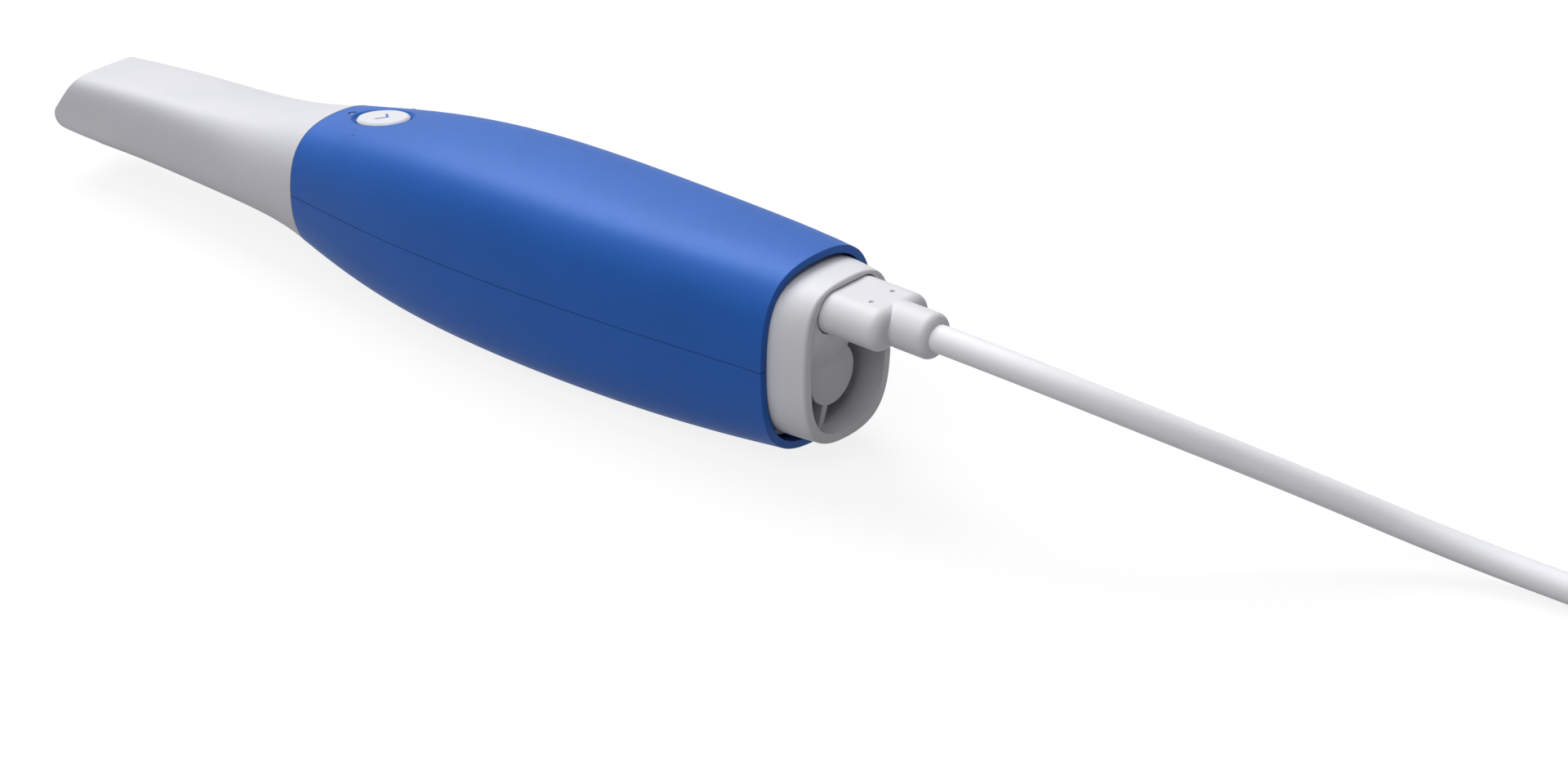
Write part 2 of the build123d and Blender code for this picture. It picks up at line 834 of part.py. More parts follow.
socket_outer_width = shell_width + 2 * (socket_gap + socket_wall)
socket_outer_height = shell_height + 2 * (socket_gap + socket_wall)
socket_board_top = plug_level - socket_outer_height / 2
socket_board_bottom = socket_board_top - board_thickness
with BuildPart() as end_cap:
    add(cap_form.part)
    add(cap_strip(cap_x, rear_x), mode=Mode.SUBTRACT)
    add(cap_inside.part)
    # Plate inside the case, with a round hole for the fan's air
    plate_outline = cross_section(cap_x, body_sections[0], seam_rear, case_wall + plate_gap)
    add(extrude(plate_outline, amount=cap_plate, mode=Mode.PRIVATE))
    with BuildSketch(Plane.YZ.offset(cap_x)):
        with Locations((0, hub_height)):
            Circle(fan_bore / 2)
    extrude(amount=cap_plate, mode=Mode.SUBTRACT)
    # Cut-out whose lower edge carries the socket's board
    with BuildSketch(Plane.YZ.offset(cap_x)):
        with Locations((0, socket_board_bottom)):
            Rectangle(
                socket_board_width + 2 * fit_gap,
                cutout_height,
                align=(Align.CENTER, Align.MIN),
            )
    extrude(amount=cap_plate, mode=Mode.SUBTRACT)
    # Pocket for the plug and the hole for its socket
    with BuildSketch(Plane.YZ.offset(pocket_x)):
        with Locations((0, plug_level)):
            SlotOverall(plug_width + 2 * plug_gap, plug_height + 2 * plug_gap)
    extrude(amount=rear_x - pocket_x, mode=Mode.SUBTRACT)
    with BuildSketch(Plane.YZ.offset(block_x)):
        with Locations((0, plug_level)):
            SlotOverall(socket_outer_width + 2 * fit_gap, socket_outer_height + 2 * fit_gap)
    extrude(amount=pocket_floor, mode=Mode.SUBTRACT)
    # Four stepped pegs for the fan
    with BuildSketch(Plane.YZ.offset(cap_x)):
        with Locations((0, hub_height)):
            with GridLocations(fan_hole_pitch, fan_hole_pitch, 2, 2):
                Circle(peg_diameter / 2)
    extrude(amount=-(fan_gap + peg_grip))
    with BuildSketch(Plane.YZ.offset(cap_x)):
        with Locations((0, hub_height)):
            with GridLocations(fan_hole_pitch, fan_hole_pitch, 2, 2):
                Circle(peg_shoulder / 2)
    extrude(amount=-fan_gap)
save(end_cap.part, "end_cap")

# Fan frame: square frame with a round bore, and a spider that carries the bearing tube
fan_end = fan_x + fan_depth
spider_x = fan_end - fan_back_wall
boss_diameter = bearing_diameter + 2 * boss_wall
with BuildPart() as fan_frame:
    with BuildSketch(Plane.YZ.offset(fan_x)):
        with Locations((0, hub_height)):
            RectangleRounded(fan_size, fan_size, fan_corner)
            Circle(fan_bore / 2, mode=Mode.SUBTRACT)
            with GridLocations(fan_hole_pitch, fan_hole_pitch, 2, 2):
                Circle(fan_hole / 2, mode=Mode.SUBTRACT)
    extrude(amount=fan_depth)
    with BuildSketch(Plane.YZ.offset(spider_x)):
        with Locations((0, hub_height)):
            Circle(rotor_hub / 2)
            Rectangle(fan_bore + fan_wall_overlap, spider_arm)
            Rectangle(spider_arm, fan_bore + fan_wall_overlap)
    extrude(amount=fan_back_wall)
    with BuildSketch(Plane.YZ.offset(spider_x)):
        with Locations((0, hub_height)):
            Circle(boss_diameter / 2)
            Circle(bearing_diameter / 2, mode=Mode.SUBTRACT)
    extrude(amount=-bearing_length)
save(fan_frame.part, "fan_frame")

bearing_x = spider_x - bearing_length
with BuildPart() as fan_bearing:
    with BuildSketch(Plane.YZ.offset(bearing_x)):
        with Locations((0, hub_height)):
            Circle(bearing_diameter / 2)
            Circle(shaft_diameter / 2 + bearing_gap, mode=Mode.SUBTRACT)
    extrude(amount=bearing_length)
save(fan_bearing.part, "fan_bearing")

with BuildPart() as fan_stator:
    with BuildSketch(Plane.YZ.offset(bearing_x + stator_margin)):
        with Locations((0, hub_height)):
            Circle(boss_diameter / 2 + stator_core)
            for pole in range(stator_poles):
                with Locations(Location((0, 0), 360 * pole / stator_poles)):
                    Rectangle(stator_diameter / 2, stator_core, align=(Align.MIN, Align.CENTER))
            Circle(boss_diameter / 2, mode=Mode.SUBTRACT)
    extrude(amount=bearing_length - 2 * stator_margin)
save(fan_stator.part, "fan_stator")

# Rotor: a cup over the stator, a shaft in the bearing and seven tilted blades
rotor_x = fan_x + rotor_setback
rotor_end = spider_x - rotor_setback
blade_root = rotor_hub / 2 - rotor_wall / 2
blade_end = fan_bore / 2 - blade_tip_gap
with BuildPart() as blades:
    for blade in range(blade_count):
        blade_plane = Plane(
            origin=((rotor_x + rotor_end) / 2, 0, hub_height),
            x_dir=(1, 0, 0),
            z_dir=(
                0,
                cos(2 * pi * blade / blade_count),
                sin(2 * pi * blade / blade_count),
            ),
        )
        with BuildSketch(blade_plane.offset(blade_root)):
            Rectangle(blade_chord, blade_thickness, rotation=blade_pitch)
        extrude(amount=fan_bore / 2 - blade_root)
    with BuildSketch(Plane.YZ.offset(rotor_x)):
        with Locations((0, hub_height)):
            Circle(blade_end)
    extrude(amount=rotor_end - rotor_x, mode=Mode.INTERSECT)
with BuildPart() as fan_rotor:
    add(blades.part)
    with BuildSketch(Plane.YZ.offset(rotor_x)):
        with Locations((0, hub_height)):
            Circle(rotor_hub / 2)
    extrude(amount=rotor_end - rotor_x)
    with BuildSketch(Plane.YZ.offset(rotor_x + rotor_wall)):
        with Locations((0, hub_height)):
            Circle(rotor_hub / 2 - rotor_wall)
    extrude(amount=rotor_end - rotor_x, mode=Mode.SUBTRACT)
    with BuildSketch(Plane.YZ.offset(rotor_x)):
        with Locations((0, hub_height)):
            Circle(shaft_diameter / 2)
    extrude(amount=spider_x - shaft_end_gap - rotor_x)
save(fan_rotor.part, "fan_rotor")

# Socket on its own small board, flush with the floor of the pocket
socket_x = pocket_x - socket_length
with BuildPart() as usb_socket:
    with BuildSketch(Plane.YZ.offset(socket_x)):
        with Locations((0, plug_level)):
            SlotOverall(socket_outer_width, socket_outer_height)
    extrude(amount=socket_length)
    with BuildSketch(Plane.YZ.offset(socket_x + socket_back)):
        with Locations((0, plug_level)):
            SlotOverall(shell_width + 2 * socket_gap, shell_height + 2 * socket_gap)
    extrude(amount=socket_length - socket_back, mode=Mode.SUBTRACT)
    with BuildSketch(Plane.YZ.offset(socket_x + socket_back)):
        with Locations((0, plug_level)):
            Rectangle(tongue_width, tongue_thickness)
    extrude(amount=tongue_length)
save(usb_socket.part, "usb_socket")

with BuildPart() as socket_board:
    with BuildSketch(Plane.XY.offset(socket_board_bottom)):
        with Locations((block_x - board_clearance - socket_board_length / 2, 0)):
            Rectangle(socket_board_length, socket_board_width)
    extrude(amount=board_thickness)
save(socket_board.part, "socket_board")

# Plug: oval body with a rounded end, two dimples on top and a neck for the cable
plug_front = pocket_x + plug_seat_gap
plug_rear = rim_x + plug_reach
neck_end = rim_x + neck_reach
with BuildPart() as plug_neck:
    with BuildSketch(Plane.XZ):
        with BuildLine():
            Polyline(
                (plug_rear - plug_end_round - neck_root, plug_level),
                (plug_rear - plug_end_round - neck_root, plug_level + plug_height / 2 - fit_gap),
                (plug_rear, plug_level + neck_diameter / 2),
                (neck_end - neck_round, plug_level + neck_diameter / 2),
            )
            RadiusArc(
                (neck_end - neck_round, plug_level + neck_diameter / 2),
                (neck_end, plug_level + neck_diameter / 2 - neck_round),
                neck_round,
            )
            Polyline(
                (neck_end, plug_level + neck_diameter / 2 - neck_round),
                (neck_end, plug_level),
                (plug_rear - plug_end_round - neck_root, plug_level),
            )
        make_face()
    revolve(axis=Axis((0, 0, plug_level), (1, 0, 0)))
with BuildPart() as plug_body:
    with BuildSketch(Plane.YZ.offset(plug_front)):
        with Locations((0, plug_level)):
            SlotOverall(plug_width, plug_height)
    extrude(amount=plug_rear - plug_front)
    fillet(plug_body.faces().sort_by(Axis.X)[-1].edges(), plug_end_round)
    add(plug_neck.part)
    with BuildSketch(Plane.XY.offset(plug_level + plug_height / 2)):
        with Locations((rim_x + dimple_back, 0)):
            with GridLocations(0, dimple_spacing, 1, 2):
                Circle(dimple_diameter / 2)
    extrude(amount=-dimple_depth, mode=Mode.SUBTRACT)
save(plug_body.part, "plug_body")

with BuildPart() as plug_shell:
    with BuildSketch(Plane.YZ.offset(plug_front)):
        with Locations((0, plug_level)):
            SlotOverall(shell_width, shell_height)
    extrude(amount=-shell_length)
    with BuildSketch(Plane.YZ.offset(plug_front - shell_length)):
        with Locations((0, plug_level)):
            SlotOverall(shell_width - 2 * shell_wall, shell_height - 2 * shell_wall)
    extrude(amount=shell_length - shell_root, mode=Mode.SUBTRACT)
save(plug_shell.part, "plug_shell")


def cord_radii(route):
    """Radii of the largest arcs that the runs of a cord's route leave room for."""
    radii = []
    for before, corner, after in zip(route, route[1:], route[2:]):
        arriving = Vector(*corner) - Vector(*before)
        leaving = Vector(*after) - Vector(*corner)
        half_turn = radians(arriving.get_angle(leaving) / 2)
        shorter = min(arriving.length, leaving.length)
        radii.append(cord_share * shorter / tan(half_turn))
    return radii


def cord_tube(route, name):
    """Round cord of straight runs joined by arcs."""
    radii = cord_radii(route)
    with BuildPart(mode=Mode.PRIVATE) as tube:
        with BuildLine() as path:
            FilletPolyline(*route, radius=radii)
        with BuildSketch(Plane(origin=path.wire() @ 0, z_dir=path.wire() % 0)):
            Circle(cable_diameter / 2)
        sweep(path=path.wire())
    expected = pi * cable_diameter**2 / 4 * path.wire().length
    print(name, "radii", [round(radius, 1) for radius in radii])
    print(name, "length", round(path.wire().length, 1))
    print(name, "volume share", round(tube.part.volume / expected, 5))
    return tube.part


# Cable from the plug down to the surface and along it to the coil
cable_rest = cable_diameter / 2
cable_route = [
    (neck_end, 0, plug_level),
    (neck_end + 21.5, 0, plug_level),
    (neck_end + 45.5, 9.8, 31.3),
    (neck_end + 72.5, 29.8, 17.9),
    (neck_end + 99.5, 46.6, 5.6),
    (neck_end + 131.5, 50.9, cable_rest),
    (neck_end + 181.5, 52.3, cable_rest),
    (neck_end + 227.5, 50.4, cable_rest),
]
save(cord_tube(cable_route, "cable"), "cable")

# Spare cable, wound in a flat ring of four layers
coil_middle = (neck_end + 227.5, 10.4)
with BuildPart() as cable_coil:
    with BuildSketch(Plane.XY):
        with Locations(coil_middle):
            Circle(coil_outer)
            Circle(coil_inner, mode=Mode.SUBTRACT)
    extrude(amount=coil_layers * cable_diameter)
    fillet(cable_coil.edges(), coil_round)
save(cable_coil.part, "cable_coil")

# Last stretch of the cable, on top of the coil, and the plug at its far end
coil_top = coil_layers * cable_diameter
far_level = coil_top + far_plug_height / 2 + coil_gap
tail_route = [
    (neck_end + 232.45, 49.55, 22.8),
    (neck_end + 244.3, 47.67, 25.4),
    (neck_end + 253.76, 40.28, 28.0),
    (neck_end + 258.45, 29.24, far_level),
    (neck_end + 257.2, 17.4, far_level),
]
save(cord_tube(tail_route, "cable_tail"), "cable_tail")

far_direction = Vector(*tail_route[-1]) - Vector(*tail_route[-2])
far_plane = Plane(
    origin=tail_route[-1],
    x_dir=(far_direction.Y, -far_direction.X, 0),
    z_dir=far_direction,
)
with BuildPart() as far_plug_body:
    with BuildSketch(far_plane):
        Circle(far_neck_diameter / 2)
    extrude(amount=far_neck_length)
    with BuildSketch(far_plane.offset(far_neck_length)):
        RectangleRounded(far_plug_width, far_plug_height, far_plug_corner)
    extrude(amount=far_plug_length)
save(far_plug_body.part, "far_plug_body")

far_front = far_plane.offset(far_neck_length + far_plug_length)
with BuildPart() as far_plug_shell:
    with BuildSketch(far_front):
        SlotOverall(shell_width, shell_height)
    extrude(amount=shell_length)
    with BuildSketch(far_front.offset(shell_root)):
        SlotOverall(shell_width - 2 * shell_wall, shell_height - 2 * shell_wall)
    extrude(amount=shell_length - shell_root, mode=Mode.SUBTRACT)
save(far_plug_shell.part, "far_plug_shell")
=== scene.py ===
import math

import bpy
from mathutils import Matrix, Vector


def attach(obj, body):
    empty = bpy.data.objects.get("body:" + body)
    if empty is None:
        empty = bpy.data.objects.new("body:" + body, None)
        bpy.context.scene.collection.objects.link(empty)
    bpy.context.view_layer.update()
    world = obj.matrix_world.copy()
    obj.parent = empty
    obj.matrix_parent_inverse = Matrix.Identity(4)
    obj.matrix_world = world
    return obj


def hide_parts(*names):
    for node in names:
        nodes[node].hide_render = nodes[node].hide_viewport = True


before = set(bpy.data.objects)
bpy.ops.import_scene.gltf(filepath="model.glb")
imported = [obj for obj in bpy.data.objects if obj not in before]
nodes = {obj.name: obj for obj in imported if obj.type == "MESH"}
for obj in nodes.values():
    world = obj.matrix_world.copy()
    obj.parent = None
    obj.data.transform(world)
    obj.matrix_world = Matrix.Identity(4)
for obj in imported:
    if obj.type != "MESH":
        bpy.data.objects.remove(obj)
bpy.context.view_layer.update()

# Handheld intraoral scanner, in metres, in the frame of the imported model.

# Camera: direction, distance and sideways offsets that match the photograph
camera_azimuth = math.radians(41.23)
camera_elevation = math.radians(27.11)
camera_distance = 0.9429
camera_target = Vector((0.1152, 0.0, 0.0253))
camera_right = 0.00718
camera_up = 0.00985
camera_lens_mm = 100.58
sensor_width_mm = 36.0
camera_nearest = 0.01
camera_furthest = 20.0

# Cable: the same route as the solid tube, then the coil and the end on top of it
cable_diameter = 0.0062
cable_route = [
    (0.1485, 0.0, 0.03815),
    (0.170, 0.0, 0.03815),
    (0.194, 0.0098, 0.0313),
    (0.221, 0.0298, 0.0179),
    (0.248, 0.0466, 0.0056),
    (0.280, 0.0509, 0.0031),
    (0.330, 0.0523, 0.0031),
]
tail_route = [
    (0.38095, 0.04955, 0.0228),
    (0.3928, 0.04767, 0.0254),
    (0.40226, 0.04028, 0.0280),
    (0.40695, 0.02924, 0.0286),
    (0.4057, 0.0174, 0.0286),
]

# Coil: the radii are those of its outer and inner turns, and a climb is a share of a turn
coil_middle = Vector((0.376, 0.0104, 0.0))
coil_outer = 0.0400
coil_inner = 0.0276
coil_layers = 4
turns_per_layer = 2
points_per_turn = 20
climb_share = 1 / 12

# Chevron: printed on the flat top of the scan button, which is sunk into the case
button_middle = Vector((-0.0177, 0.0, 0.0410824))
button_normal = Vector((-0.189037, 0.0, 0.98197))
button_sink = 0.0001
chevron_tip = 0.0019
chevron_reach = 0.0022
chevron_half_width = 0.0019
chevron_stroke = 0.0006
chevron_rise = 0.00003

# Floor and sky: white for the camera, dimmer where they only light the object
floor_reach = 4.0
floor_drop = 0.0002
floor_bounce = (0.3, 0.3, 0.3, 1.0)
floor_seen = (0.96, 0.96, 0.96, 1.0)
floor_glow = 0.85
sky_colour = (0.96, 0.98, 1.0, 1.0)
sky_strength = 0.2
white = (1.0, 1.0, 1.0, 1.0)

# Lamps: the key stands behind and above the scanner, the front one on the camera's side
lamp_aim = Vector((0.08, 0.0, 0.02))
lamp_distance = 3.4
key_direction = (-0.52, 0.2, 0.82)
key_size = 2.1
key_power = 104.0
front_direction = (0.04, -0.68, 0.74)
front_size = 3.0
front_power = 62.0

# Moulded plastic: mottling in cycles per metre, gloss patches coarser than the grain
mottle_scale = 60
patch_ratio = 5
gloss_below = 0.04
gloss_above = 0.05


def srgb(red, green, blue):
    """Linear colour, with alpha, from screen values between 0 and 255."""
    linear = []
    for value in (red, green, blue):
        share = value / 255
        linear.append(share / 12.92 if share <= 0.04045 else ((share + 0.055) / 1.055) ** 2.4)
    return (*linear, 1.0)


class Finish:
    """A material being built: its node tree, shader and surface coordinates."""

    def __init__(self, name, colour, roughness, sockets=None):
        self.material = bpy.data.materials.new(name)
        self.material.use_nodes = True
        self.material.diffuse_color = colour
        self.tree = self.material.node_tree
        self.shader = self.tree.nodes["Principled BSDF"]
        self.shader.inputs["Base Color"].default_value = colour
        self.shader.inputs["Roughness"].default_value = roughness
        for socket, value in (sockets or {}).items():
            self.shader.inputs[socket].default_value = value
        self.coordinates = self.node("ShaderNodeTexCoord")

    def node(self, kind):
        return self.tree.nodes.new(kind)

    def link(self, source, target):
        self.tree.links.new(source, target)

    def noise(self, scale, detail=2.0, stretch=(1.0, 1.0, 1.0)):
        """Noise in object space, with its scale in cycles per metre."""
        mapping = self.node("ShaderNodeMapping")
        mapping.inputs["Scale"].default_value = stretch
        texture = self.node("ShaderNodeTexNoise")
        texture.inputs["Scale"].default_value = scale
        texture.inputs["Detail"].default_value = detail
        self.link(self.coordinates.outputs["Object"], mapping.inputs["Vector"])
        self.link(mapping.outputs["Vector"], texture.inputs["Vector"])
        return texture.outputs["Fac"]

    def mottle(self, source, first, second):
        """Blend the base colour between two close shades."""
        ramp = self.node("ShaderNodeValToRGB")
        low, high = ramp.color_ramp.elements
        low.position = 0.35
        low.color = first
        high.position = 0.65
        high.color = second
        self.link(source, ramp.inputs["Fac"])
        self.link(ramp.outputs["Color"], self.shader.inputs["Base Color"])

    def roughen(self, source, low, high):
        """Let the roughness follow a signal, between two values."""
        spread = self.node("ShaderNodeMapRange")
        spread.inputs["To Min"].default_value = low
        spread.inputs["To Max"].default_value = high
        self.link(source, spread.inputs["Value"])
        self.link(spread.outputs["Result"], self.shader.inputs["Roughness"])

    def bump(self, height, depth, edge_radius=None):
        """Fine relief from a signal, over softly rounded edges."""
        relief = self.node("ShaderNodeBump")
        relief.inputs["Distance"].default_value = depth
        relief.inputs["Strength"].default_value = 1.0
        self.link(height, relief.inputs["Height"])
        if edge_radius:
            bevel = self.node("ShaderNodeBevel")
            bevel.samples = 6
            bevel.inputs["Radius"].default_value = edge_radius
            self.link(bevel.outputs["Normal"], relief.inputs["Normal"])
        self.link(relief.outputs["Normal"], self.shader.inputs["Normal"])


def moulded(name, colour, shade, roughness, grain, depth, edge_radius=0.0003, sockets=None):
    """Moulded plastic: an even colour with slight mottling and a fine spark-eroded grain."""
    finish = Finish(name, colour, roughness, sockets)
    finish.mottle(finish.noise(mottle_scale, detail=3.0), shade, colour)
    patches = finish.noise(grain / patch_ratio)
    finish.roughen(patches, roughness - gloss_below, roughness + gloss_above)
    finish.bump(finish.noise(grain, detail=3.0), depth, edge_radius)
    return finish.material


def body_blue():
    return moulded(
        "body_blue",
        colour=srgb(3, 79, 163),
        shade=srgb(2, 76, 158),
        roughness=0.52,
        grain=5200,
        depth=0.000014,
        edge_radius=0.00045,
        sockets={
            "Metallic": 0.12,
            "Specular IOR Level": 0.52,
            "Specular Tint": srgb(208, 226, 250),
        },
    )


def tip_plastic():
    return moulded(
        "tip_plastic",
        colour=srgb(198, 198, 204),
        shade=srgb(195, 195, 202),
        roughness=0.5,
        grain=6000,
        depth=0.000006,
        sockets={"Subsurface Weight": 0.04, "Subsurface Radius": (0.002, 0.0018, 0.0016)},
    )


def rear_plastic():
    return moulded(
        "rear_plastic",
        colour=srgb(211, 211, 215),
        shade=srgb(207, 207, 212),
        roughness=0.52,
        grain=5600,
        depth=0.000008,
    )


def button_plastic():
    return moulded(
        "button_plastic",
        colour=srgb(206, 207, 212),
        shade=srgb(203, 204, 210),
        roughness=0.36,
        grain=7000,
        depth=0.000003,
        sockets={"Coat Weight": 0.15, "Coat Roughness": 0.2},
    )


def cable_jacket():
    return moulded(
        "cable_jacket",
        colour=srgb(231, 231, 235),
        shade=srgb(227, 227, 232),
        roughness=0.56,
        grain=4200,
        depth=0.000010,
        sockets={"Sheen Weight": 0.2},
    )


def black_plastic():
    return moulded(
        "black_plastic",
        colour=srgb(26, 26, 28),
        shade=srgb(21, 21, 23),
        roughness=0.5,
        grain=4000,
        depth=0.000015,
    )


def silicone():
    return moulded(
        "silicone",
        colour=srgb(38, 38, 41),
        shade=srgb(33, 33, 36),
        roughness=0.62,
        grain=3000,
        depth=0.000012,
        sockets={"Sheen Weight": 0.15},
    )


# Painted glow: a faint emission lights the status light's shaded recess, though it is no lamp.
def light_pipe():
    return moulded(
        "light_pipe",
        colour=srgb(232, 232, 228),
        shade=srgb(228, 228, 224),
        roughness=0.25,
        grain=3000,
        depth=0.000002,
        sockets={
            "Coat Weight": 0.3,
            # The emission is painted light, not a lamp.
            "Emission Color": srgb(236, 226, 205),
            "Emission Strength": 0.25,
        },
    )


def printed_blue():
    return moulded(
        "printed_blue",
        colour=srgb(24, 92, 172),
        shade=srgb(20, 87, 166),
        roughness=0.45,
        grain=9000,
        depth=0.000002,
        edge_radius=None,
    )


def drawn_metal(name, colour, roughness):
    """Metal with fine drawn lines along the scanner."""
    finish = Finish(name, colour, roughness, {"Metallic": 1.0})
    lines = finish.noise(9000, stretch=(0.04, 1.0, 1.0))
    finish.roughen(lines, roughness - 0.07, roughness + 0.08)
    finish.bump(lines, depth=0.000004, edge_radius=0.0001)
    return finish.material


def blasted_metal():
    """Bead-blasted aluminium."""
    finish = Finish("blasted_aluminium", srgb(196, 198, 202), 0.38, {"Metallic": 1.0})
    grain = finish.noise(7000, detail=3.0)
    finish.roughen(grain, 0.32, 0.46)
    finish.bump(grain, depth=0.00001, edge_radius=0.0002)
    return finish.material


def circuit_board():
    """Green solder mask over faint copper tracks."""
    finish = Finish("circuit_board", srgb(22, 84, 52), 0.35)
    tracks = finish.node("ShaderNodeTexBrick")
    tracks.inputs["Scale"].default_value = 300
    tracks.inputs["Mortar Size"].default_value = 0.09
    tracks.inputs["Color1"].default_value = srgb(20, 78, 48)
    tracks.inputs["Color2"].default_value = srgb(23, 86, 53)
    tracks.inputs["Mortar"].default_value = srgb(38, 112, 68)
    finish.link(finish.coordinates.outputs["Object"], tracks.inputs["Vector"])
    finish.link(tracks.outputs["Color"], finish.shader.inputs["Base Color"])
    finish.bump(tracks.outputs["Fac"], depth=0.00002)
    return finish.material


def mirror_glass():
    """Front-silvered glass with a trace of haze."""
    finish = Finish("mirror_glass", srgb(236, 238, 240), 0.02, {"Metallic": 1.0})
    finish.roughen(finish.noise(500), 0.01, 0.04)
    return finish.material


def lens_glass():
    """Clear glass with a bluish coating."""
    coated = {
        "Transmission Weight": 0.9,
        "IOR": 1.52,
        "Coat Weight": 0.5,
        "Coat Tint": srgb(190, 200, 255),
    }
    finish = Finish("lens_glass", srgb(232, 240, 244), 0.03, coated)
    finish.roughen(finish.noise(800), 0.02, 0.05)
    return finish.material


def dress(material, *names):
    """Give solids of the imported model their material."""
    for name in names:
        materials = nodes[name].data.materials
        materials.clear()
        materials.append(material)


def finish_nodes():
    dress(body_blue(), "upper_case", "lower_case")
    dress(tip_plastic(), "tip_housing")
    dress(rear_plastic(), "end_cap", "plug_body", "far_plug_body")
    dress(button_plastic(), "scan_button")
    dress(
        black_plastic(),
        "nose_barrel",
        "projector_housing",
        "camera_left",
        "camera_right",
        "board_chips",
        "button_switch",
        "fan_frame",
        "fan_rotor",
    )
    dress(silicone(), "button_gasket", "nose_seal", "thermal_pad")
    dress(circuit_board(), "main_board", "button_board", "socket_board")
    dress(
        drawn_metal("drawn_steel", srgb(190, 191, 194), 0.28),
        "button_screws",
        "fan_bearing",
        "usb_socket",
        "plug_shell",
        "far_plug_shell",
    )
    dress(drawn_metal("wound_copper", srgb(184, 115, 74), 0.35), "fan_stator")
    dress(blasted_metal(), "chassis", "heat_sink")
    dress(mirror_glass(), "tip_mirror")
    dress(
        lens_glass(), "nose_window", "projector_lens", "camera_lens_left", "camera_lens_right"
    )
    dress(light_pipe(), "status_light")


def add_object(name, data):
    """Put a new object at the origin of the scene."""
    item = bpy.data.objects.new(name, data)
    bpy.context.scene.collection.objects.link(item)
    return item


def coil_level(turn):
    """Layer that the cable lies in after some turns, with a smooth climb between layers."""
    for boundary in range(1, coil_layers):
        past = turn - boundary * turns_per_layer
        if abs(past) < climb_share:
            share = (past + climb_share) / (2 * climb_share)
            return boundary - 1 + share * share * (3 - 2 * share)
    return min(int(turn / turns_per_layer), coil_layers - 1)


def coil_points():
    """Turns of the stored cable: inwards in one layer, outwards in the one above it."""
    points = []
    pitch = (coil_outer - coil_inner) / turns_per_layer
    for step in range(coil_layers * turns_per_layer * points_per_turn + 1):
        turn = step / points_per_turn
        layer = min(int(turn / turns_per_layer), coil_layers - 1)
        shift = pitch * (turn - layer * turns_per_layer)
        inward = layer % 2 == 0
        radius = coil_outer - shift if inward else coil_inner + shift
        angle = math.pi / 2 - 2 * math.pi * turn
        points.append(
            (
                coil_middle.x + radius * math.cos(angle),
                coil_middle.y + radius * math.sin(angle),
                cable_diameter * (coil_level(turn) + 0.5),
            )
        )
    return points


def make_cable(material):
    """The whole cable as one smooth curve, from the plug's neck to the plug on its far end."""
    curve = bpy.data.curves.new("cable_line", "CURVE")
    curve.dimensions = "3D"
    curve.bevel_depth = cable_diameter / 2
    curve.bevel_resolution = 8
    curve.resolution_u = 6
    curve.use_fill_caps = True
    curve.materials.append(material)
    route = cable_route + coil_points() + tail_route
    spline = curve.splines.new("NURBS")
    spline.points.add(len(route) - 1)
    for point, place in zip(spline.points, route):
        point.co = (*place, 1.0)
    spline.order_u = 3
    spline.use_endpoint_u = True
    cable = add_object("cable_line", curve)
    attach(cable, "handpiece")
    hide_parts("cable", "cable_coil", "cable_tail")


def make_chevron(material):
    """Chevron printed on the scan button, pointing towards the cable."""
    along = Vector((button_normal.z, 0.0, -button_normal.x))
    across = Vector((0.0, 1.0, 0.0))
    middle = button_middle + button_normal * (chevron_rise - button_sink)
    slope = math.atan2(chevron_half_width, chevron_reach)
    stroke_along = chevron_stroke / math.sin(slope)
    arm_end = chevron_tip - chevron_reach
    outline = [
        (chevron_tip, 0.0),
        (arm_end, chevron_half_width),
        (arm_end - stroke_along, chevron_half_width),
        (chevron_tip - stroke_along, 0.0),
        (arm_end - stroke_along, -chevron_half_width),
        (arm_end, -chevron_half_width),
    ]
    corners = [middle + along * x + across * y for x, y in outline]
    mesh = bpy.data.meshes.new("button_chevron")
    mesh.from_pydata(corners, [], [(0, 1, 2, 3), (0, 3, 4, 5)])
    mesh.materials.append(material)
    chevron = add_object("button_chevron", mesh)
    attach(chevron, "button")


def make_camera():
    """Camera at the photograph's viewing angle, level, with its target a little off the middle."""
    right = Vector((math.cos(camera_azimuth), math.sin(camera_azimuth), 0.0))
    level_back = Vector((math.sin(camera_azimuth), -math.cos(camera_azimuth), 0.0))
    back = level_back * math.cos(camera_elevation)
    back.z = math.sin(camera_elevation)
    up = back.cross(right)
    camera_data = bpy.data.cameras.new("camera")
    camera_data.lens = camera_lens_mm
    camera_data.sensor_width = sensor_width_mm
    camera_data.clip_start = camera_nearest
    camera_data.clip_end = camera_furthest
    camera = add_object("camera", camera_data)
    place = camera_target + back * camera_distance - right * camera_right - up * camera_up
    turned = Matrix((right, up, back)).transposed().to_4x4()
    camera.matrix_world = Matrix.Translation(place) @ turned
    bpy.context.scene.camera = camera


def make_lamp(name, direction, size, power):
    """Soft square lamp that faces the middle of the handpiece and its cable."""
    lamp_data = bpy.data.lights.new(name, "AREA")
    lamp_data.shape = "SQUARE"
    lamp_data.size = size
    lamp_data.energy = power
    lamp = add_object(name, lamp_data)
    towards = Vector(direction).normalized()
    lamp.location = lamp_aim + towards * lamp_distance
    lamp.rotation_mode = "QUATERNION"
    lamp.rotation_quaternion = towards.to_track_quat("Z", "Y")


def background_rays(tree):
    """Rays that see the white background: from the camera, or by way of gloss or glass."""
    path = tree.nodes.new("ShaderNodeLightPath")
    total = path.outputs["Is Camera Ray"]
    for kind in ("Is Glossy Ray", "Is Transmission Ray"):
        either = tree.nodes.new("ShaderNodeMath")
        either.operation = "MAXIMUM"
        tree.links.new(total, either.inputs[0])
        tree.links.new(path.outputs[kind], either.inputs[1])
        total = either.outputs["Value"]
    return total


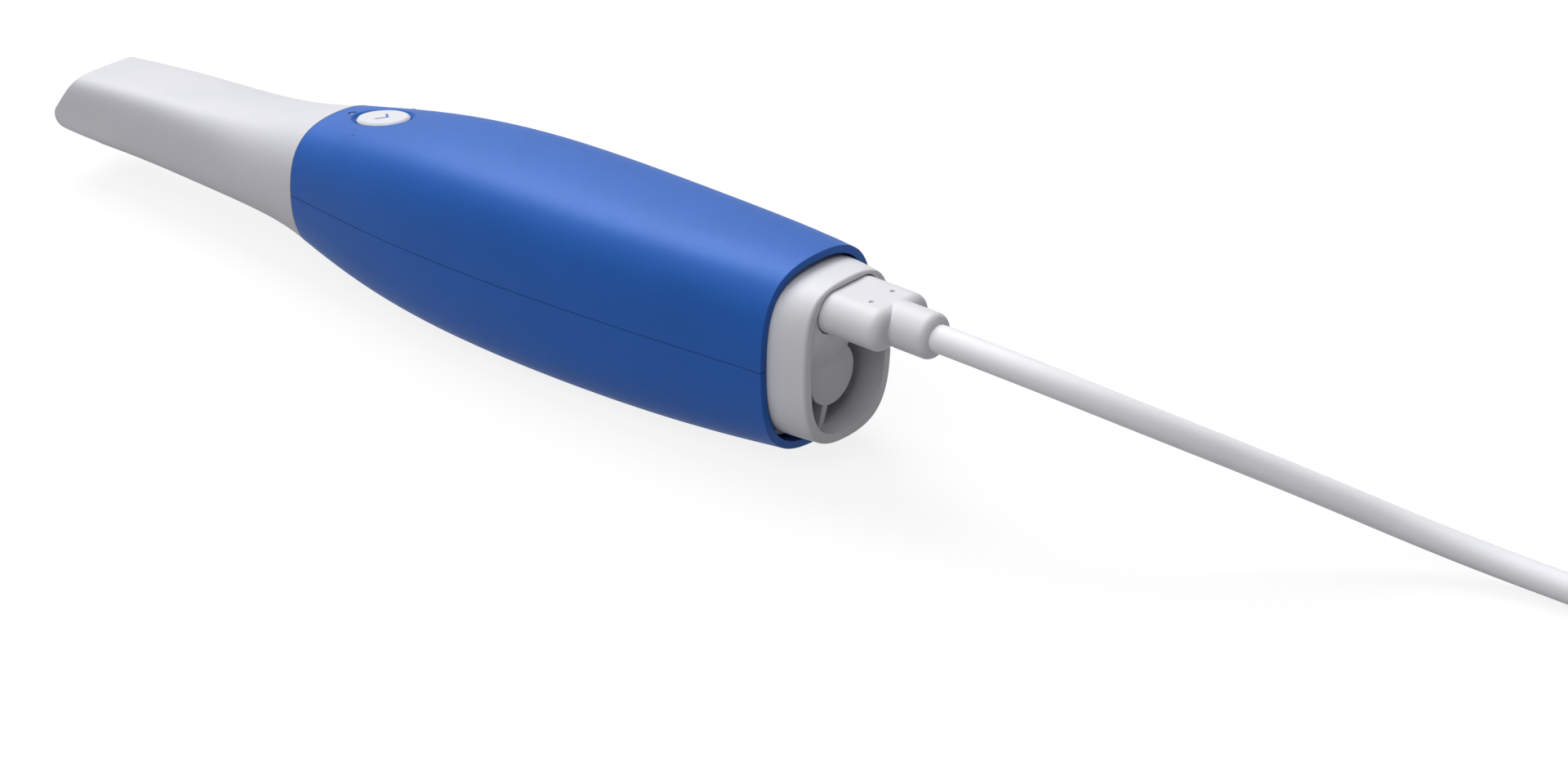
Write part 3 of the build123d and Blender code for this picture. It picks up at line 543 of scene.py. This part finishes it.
def floor_material():
    """Matte floor that keeps the shadow, and glows white for the rays of the background."""
    material = bpy.data.materials.new("floor")
    material.use_nodes = True
    tree = material.node_tree
    tree.nodes.clear()
    output = tree.nodes.new("ShaderNodeOutputMaterial")
    seen = background_rays(tree)
    shade = tree.nodes.new("ShaderNodeMix")
    shade.data_type = "RGBA"
    shade.inputs["A"].default_value = floor_bounce
    shade.inputs["B"].default_value = floor_seen
    matte = tree.nodes.new("ShaderNodeBsdfDiffuse")
    glow = tree.nodes.new("ShaderNodeEmission")
    glow.inputs["Color"].default_value = white
    share = tree.nodes.new("ShaderNodeMath")
    share.operation = "MULTIPLY"
    share.inputs[1].default_value = floor_glow
    blend = tree.nodes.new("ShaderNodeMixShader")
    tree.links.new(seen, shade.inputs["Factor"])
    tree.links.new(shade.outputs["Result"], matte.inputs["Color"])
    tree.links.new(seen, share.inputs[0])
    tree.links.new(share.outputs["Value"], blend.inputs["Fac"])
    tree.links.new(matte.outputs["BSDF"], blend.inputs[1])
    tree.links.new(glow.outputs["Emission"], blend.inputs[2])
    tree.links.new(blend.outputs["Shader"], output.inputs["Surface"])
    return material


def make_floor():
    mesh = bpy.data.meshes.new("floor")
    corners = [
        (-floor_reach, -floor_reach, 0.0),
        (floor_reach, -floor_reach, 0.0),
        (floor_reach, floor_reach, 0.0),
        (-floor_reach, floor_reach, 0.0),
    ]
    mesh.from_pydata(corners, [], [(0, 1, 2, 3)])
    mesh.materials.append(floor_material())
    floor = add_object("floor", mesh)
    floor.location.z = -floor_drop


def make_sky():
    """Even soft light from all round, and white where the background is seen."""
    world = bpy.data.worlds.new("studio")
    bpy.context.scene.world = world
    world.use_nodes = True
    tree = world.node_tree
    tree.nodes.clear()
    output = tree.nodes.new("ShaderNodeOutputWorld")
    soft = tree.nodes.new("ShaderNodeBackground")
    soft.inputs["Color"].default_value = sky_colour
    soft.inputs["Strength"].default_value = sky_strength
    bright = tree.nodes.new("ShaderNodeBackground")
    bright.inputs["Color"].default_value = white
    bright.inputs["Strength"].default_value = 1.0
    blend = tree.nodes.new("ShaderNodeMixShader")
    tree.links.new(background_rays(tree), blend.inputs["Fac"])
    tree.links.new(soft.outputs["Background"], blend.inputs[1])
    tree.links.new(bright.outputs["Background"], blend.inputs[2])
    tree.links.new(blend.outputs["Shader"], output.inputs["Surface"])


finish_nodes()
make_cable(cable_jacket())
make_chevron(printed_blue())
make_floor()
make_sky()
make_lamp("key", key_direction, key_size, key_power)
make_lamp("front", front_direction, front_size, front_power)
make_camera()
bpy.context.scene.view_settings.view_transform = "Standard"
